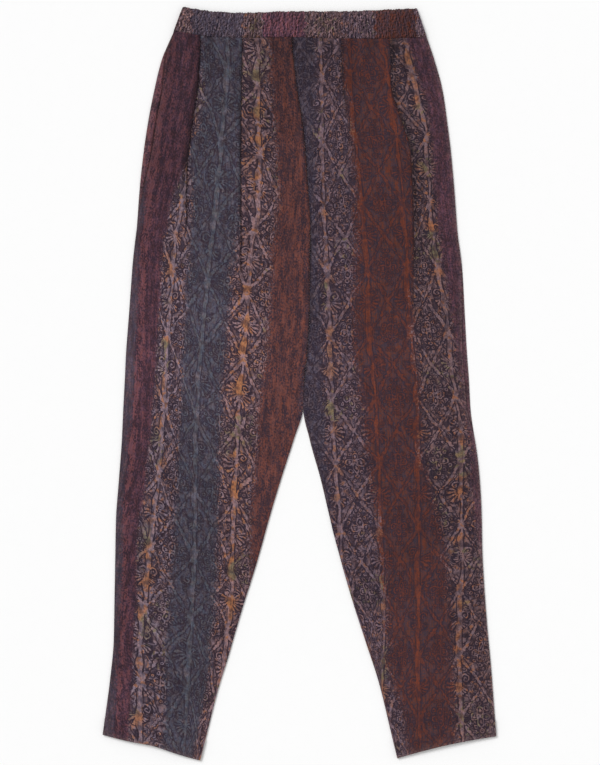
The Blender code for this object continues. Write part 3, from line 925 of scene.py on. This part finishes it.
RAY, PETAL = math.radians(30), math.radians(22.5)  # from one ray of a star or a sunburst to the next


def stem_lines(n, place):
    """Distance from a stem's middle, and outside its edge, in millimetres."""
    ax = n.parts(place)[0].back_and_forth(STEM / 2)
    return ax, ax - n.step(n.noise(place, 26.0), 0.3, 0.7, 1.4, 3.9)


def main_drawing(n, x, y):
    """Distance outside the lattice, stars, sunbursts, spirals and buds in millimetres, under 0 inside."""

    def noise(size):
        return n.noise(n.node("CombineXYZ", {"X": x, "Y": y}).outputs[0], size, 0.0)

    def ellipse(x, y, wide, long):
        """Distance outside an ellipse, about, in millimetres."""
        return (length(x * (1 / wide), y * (1 / long)) - 1.0) * min(wide, long)

    ax = x.back_and_forth(STEM / 2)
    ay = y.back_and_forth(REPEAT / 2)
    up = (y * -1.0 + REPEAT / 2).wrapped(REPEAT / 2)  # from a sunburst's middle
    slope = math.hypot(STEM / 2, REPEAT / 2)
    sin_l, cos_l = REPEAT / 2 / slope, STEM / 2 / slope
    bead = (ay * (2 * math.pi / 5.0)).sine() * 0.45
    broken = n.step(noise(15.0), 0.28, 0.5, 0.4, 1.95)
    reach = length(ax, ay)
    leaf = n.step(reach, 2.0, 13.0, 1.0, 0.0)
    drawn = (ax * sin_l - ay * cos_l).size() - (bead + broken + leaf)
    # star where they cross
    ray = ay.angle(ax).back_and_forth(RAY / 2) * reach
    full = n.step(noise(19.0), 0.5, 0.72, 0.0, 0.035)
    drawn = drawn.least(ray - reach * (9.0 - reach) * full)
    # sunburst between two crossings: petals below, spirals above
    reach = length(ax, up)
    ray = up.angle(ax).back_and_forth(PETAL / 2) * reach
    opened = noise(37.0)
    petals = (ray - (reach * 0.06 + 0.42)).most(reach - n.step(opened, 0.3, 0.7, 11.0, 18.0))
    petals = petals.most(5.0 - reach).most(up - n.step(opened, 0.35, 0.65, -1.0, 11.0))
    drawn = drawn.least(petals).least((reach - 3.0).size() - 0.5)
    sx, sy = ax - 7.6, up - 9.5
    reach = length(sx, sy)
    curl = (reach - sy.angle(sx) * (4.2 / (2 * math.pi))).wrapped(2.1).size() - 0.85
    drawn = drawn.least(curl.most(reach - 6.4) + n.step(noise(17.0), 0.55, 0.6, 0.0, 3.0))
    # bud between the stems: petals, and berries round it
    bx, by = STEM / 2 - ax, (y.wrapped(REPEAT / 2) + 1.5).size()
    petal = ellipse(bx, by - 7.0, 3.6, 5.6)
    drawn = drawn.least(petal.size() - 0.65).least(petal + 2.3)
    petal = ellipse(bx - 7.2, by - 1.0, 4.4, 3.0)
    drawn = drawn.least(petal.size() - 0.6).least(petal + 1.9)
    for cx, cy, size in ((0.0, 17.5, 2.3), (7.0, 11.5, 1.9), (14.5, 6.5, 1.7), (3.6, 24.0, 1.5)):
        ring = length(bx - cx, by - cy) - size
        drawn = drawn.least(ring.size() - 0.55)
    return drawn


def filling(n, moved):
    """Distance outside the loops, small rings and squiggles that fill the ground, in millimetres."""

    def rings(size, vector, least, more, line, share):
        inputs = {"Vector": vector, "Scale": 1 / size, "Randomness": 0.9}
        distance, kind = n.node("TexVoronoi", inputs, voronoi_dimensions="2D").outputs[:2]
        picked, wider, _ = (Number(n, part) for part in n.node("SeparateColor", {0: kind}).outputs)
        inside = Number(n, distance) * size - (wider * more + least)
        inside = inside + n.step(picked, share - 0.05, share + 0.05, 40.0, 0.0)
        return inside, inside.size() - line

    _, ring = rings(12.5, moved, 1.8, 3.0, 0.85, 0.6)
    veins = (n.noise(moved, 20.0, 1.0, 0.4) - 0.5).back_and_forth(0.055) * 40.0 - 0.85
    tall = n.vector("MULTIPLY", moved, (1.0, 0.7, 1.0))
    inside, loop = rings(21.0, tall, 3.8, 3.4, 1.0, 0.35)
    return ring.least(veins).most(-1.0 * inside - 0.2).least(loop)


def batik(name, gain=1.0, bump=0.35, drawing=True, squeeze=(1.0, 1.0), boost=0.9):
    """Batik cloth: stripes, and stems with a lattice, sunbursts, spirals and buds, over speckle."""
    n = Nodes(name)
    raw = n.attribute("print")

    def drawn_out(wide, long, detail=2.0, rough=0.5):
        """Noise whose spots are so many millimetres wide and long."""
        return n.noise(n.vector("MULTIPLY", raw, (1 / wide, 1 / long, 1.0)), 1.0, detail, rough)

    def soft_edge(outside):
        """1 inside a drawn shape and 0 outside it."""
        return n.step(outside, -0.45, 0.45, 1.0, 0.0)

    def striped(field, strength=None):
        """One of the stripes' colours, level over each stripe, and one of their strengths."""
        stops = []
        for i, row in enumerate(STRIPES):
            colour = (*linear(getattr(row, field), gain), getattr(row, strength) if strength else 1.0)
            stops += [((i + BLUR) / LAST_STRIPE, colour), ((i + 1 - BLUR) / LAST_STRIPE, colour)]
        return n.ramp(stripe, stops)

    swayed = n.shaken(raw, raw, 26.0, 6.0)
    shaken = n.shaken(swayed, raw, 5.0, 1.9)
    x, y, _ = n.parts(shaken)
    uneven = n.noise(raw, 2.6)
    rough_edge = (uneven - 0.5) * 1.6
    small = filling(n, n.shaken(n.vector("MULTIPLY", shaken, (*squeeze, 1.0)), raw, 6.0, 6.0))
    if drawing:
        ax, stem = stem_lines(n, swayed)
        drawn = main_drawing(n, x, y)
        small = small.most(1.5 - drawn.least(stem))
        motif = soft_edge(drawn + rough_edge)
        stem_motif = soft_edge(stem + rough_edge * 0.5)
        rim = n.step(drawn.least(stem) + rough_edge, 0.4, 2.8, 1.0, 0.0)
    small = soft_edge(small + rough_edge)

    # stripes
    place = n.parts(raw)[2]
    dots = drawn_out(2.0, 2.8, 1.0, 0.7)
    sway = n.noise(raw, 30.0, 2.0, 0.6)
    stripe = place + (sway - 0.5) * 0.22 + (uneven - 0.5) * 0.3 + (dots - 0.5) * 0.2
    stripe = stripe * (1 / LAST_STRIPE)
    ground, _ = striped("ground")
    line, drawing_shows = striped("line", "drawing")
    accent, _ = striped("accent")
    speck, filling_shows = striped("speck", "filling")

    # speckle in clouds over the ground, and long drips of dye in the stripes that have little drawing
    clouds = drawn_out(8.0, 15.0, 2.0, 0.6)
    drips = drawn_out(6.5, 48.0, 2.0, 0.65)
    plain = n.step(filling_shows, 0.35, 0.5, 1.0, 0.0)
    speckled = dots * 0.6 + clouds * 0.4 + (drips - 0.5) * plain * 0.5
    colour = n.blend(n.step(speckled, 0.42, 0.58), ground, speck)
    bright = n.step(place, 1.0, 1.08) * n.step(place, 1.25, 1.45, 0.12, 0.0)
    dripped = drips * 0.45 + dots * 0.45 + clouds * 0.35 + bright
    colour = n.blend(n.step(dripped, 0.66, 0.8) * plain * 0.8, colour, accent)

    # the drawing, gold and olive in places, and washed out in others
    # the wear attribute: wear, brightness with painted shade, and gold
    worn, shade, gold = n.parts(n.attribute("wear"))
    patches = n.step(n.noise(raw, 26.0) + gold * 0.12, 0.55, 0.68, 0.0, 0.85)
    if drawing:
        patches = patches * n.step(ax, 3.0, 18.0, 1.0, 0.1)
    patches = patches.most(n.step(n.noise(raw, 6.0, 0.0) + gold * 0.06, 0.6, 0.7, 0.0, 0.75))
    shown = n.step(filling_shows, 0.7, 0.78)
    accent = n.blend(n.step(n.noise(raw, 60.0, 0.0), 0.57, 0.64) * shown, accent, linear(OLIVE))
    wash = n.step(n.noise(shaken, 13.0, 2.0, 0.6), 0.52, 0.7) * filling_shows * 0.38
    colour = n.blend(wash, colour, line)
    line = n.blend(patches, line, accent)
    strength = n.step(n.noise(raw, 9.0, 2.0), 0.3, 0.65, 0.38, 1.12)
    colour = n.blend((small * filling_shows * strength * boost).least(1.0), colour, line)
    if drawing:
        rim = rim * drawing_shows * (filling_shows * 0.5 + 0.42)
        colour = n.blend(rim, colour, linear(SHADE, gain))
        mottled = strength * n.step(dots, 0.38, 0.6, 0.6, 1.0)
        motif = (motif * (filling_shows * 0.6 + 0.5)).least(1.0).most(stem_motif)
        colour = n.blend((motif * drawing_shows * mottled).least(1.0), colour, line)

    # the dye runs warmer and cooler; weave streaks, worn edges, slow changes of tone, and the shells'
    # brightness with its painted shade
    cast = n.step(drawn_out(5.0, 9.0, 2.0, 0.7), 0.3, 0.7)
    colour = n.blend(1.0, colour, n.blend(cast, *CASTS), "MULTIPLY")
    streak = n.step(drawn_out(1.25, 100 / 3, 1.0), 0.2, 0.8, 0.84, 1.16)
    tone = streak * n.step(n.noise(raw, 90.0), 0.3, 0.7, 0.94, 1.06) * shade
    colour = n.node("VectorMath", {0: colour, "Scale": tone}, operation="SCALE").outputs[0]
    wear = worn * n.step(n.noise(raw, 3.0), 0.35, 0.65, 0.05, 0.4)
    colour = n.blend(wear, colour, linear(WORN, gain))

    # bump: threads, slight crinkle
    threads = ((x * (2 * math.pi / WEAVE)).sine() * (y * (2 * math.pi / WEAVE)).sine()) * 0.02
    height = threads + n.noise(raw, 7.0, 2.0) * 0.5 + dots * 0.08
    normal = n.node("Bump", {"Strength": bump, "Distance": MM, "Height": height}).outputs[0]
    roughness = n.step(uneven, 0.2, 0.8, 0.74, 0.9)
    inputs = {"Base Color": colour, "Roughness": roughness, "Normal": normal, "Specular IOR Level": 0.12}
    return n.surface({**inputs, "Sheen Weight": 0.04, "Sheen Roughness": 0.45})


def thread_material():
    """Dark sewing thread, its twist showing as a lighter streak."""
    n = Nodes("sewing_thread")
    twist = n.step(n.noise(n.where(), 1 / 900), 0.35, 0.65)
    colour = n.blend(twist, linear(THREAD), linear(THREAD_LIGHT))
    return n.surface({"Base Color": colour, "Roughness": 0.6, "Specular IOR Level": 0.2})


# ---- Floor, light and camera ----

# The view's middle, and its height: the photograph's 765 pixels, each 1.3615 mm
VIEW_X, VIEW_Y, VIEW_Z = 0.75, 1.7, 4.0
VIEW_TALL = 765 * 1.3615
LENS, SENSOR = 100.0, 36.0
FLOOR_HALF = 25000.0


def floor():
    corners = FLOOR_HALF * np.array([(-1, -1, 0), (1, -1, 0), (1, 1, 0), (-1, 1, 0)])
    n = Nodes("pale_floor")
    grain = n.blend(n.noise(n.where(), 1 / 60, 3.0), (0.975,) * 3, (0.985,) * 3)
    mesh = new_mesh("floor", corners, [(0, 1, 2, 3)])
    mesh.materials.append(n.surface({"Base Color": grain, "Roughness": 0.9, "Specular IOR Level": 0.1}))
    obj = new_object("floor", mesh)


def light():
    scene = bpy.context.scene
    scene.world = bpy.data.worlds.new("studio")
    scene.world.use_nodes = True
    background = scene.world.node_tree.nodes["Background"].inputs
    background["Color"].default_value = (1.0, 1.0, 1.0, 1.0)
    background["Strength"].default_value = 0.6
    lamp = bpy.data.lights.new("softbox", "SUN")
    lamp.angle, lamp.energy = math.radians(28), 1.72
    new_object("softbox", lamp).rotation_euler = (math.radians(-30), math.radians(-32), 0)
    scene.view_settings.view_transform = "Standard"
    scene.view_settings.look = "None"


def camera():
    data = bpy.data.cameras.new("camera")
    data.lens, data.sensor_width = LENS, SENSOR
    obj = new_object("camera", data)
    up = VIEW_TALL / 2 / (SENSOR / 2 / LENS)
    obj.location = (VIEW_X * MM, VIEW_Y * MM, (VIEW_Z + up) * MM)
    bpy.context.scene.camera = obj


def main():
    camera()
    light()
    floor()
    cloth = batik("batik_cloth")
    band = batik("waistband_cloth", 1.1, 0.5, drawing=False, squeeze=(2.2, 1.7), boost=1.3)
    inner = batik("pocket_cloth", 1.1)
    thread = thread_material()
    right = front_panel("front_panel_right", RIGHT, cloth, thread, 0)
    left = front_panel("front_panel_left", LEFT, cloth, thread, APART)
    back_right = back_panel("back_panel_right", RIGHT, cloth, thread, 2 * APART)
    back_left = back_panel("back_panel_left", LEFT, cloth, thread, 3 * APART)
    front_band = waistband("waistband_front", band, BAND_WALL + GAP, True, 4 * APART)
    back_band = waistband("waistband_back", band, 0.0, False, 5 * APART)
    pocket = facing("pocket_facing_right", inner, 6 * APART)


main()
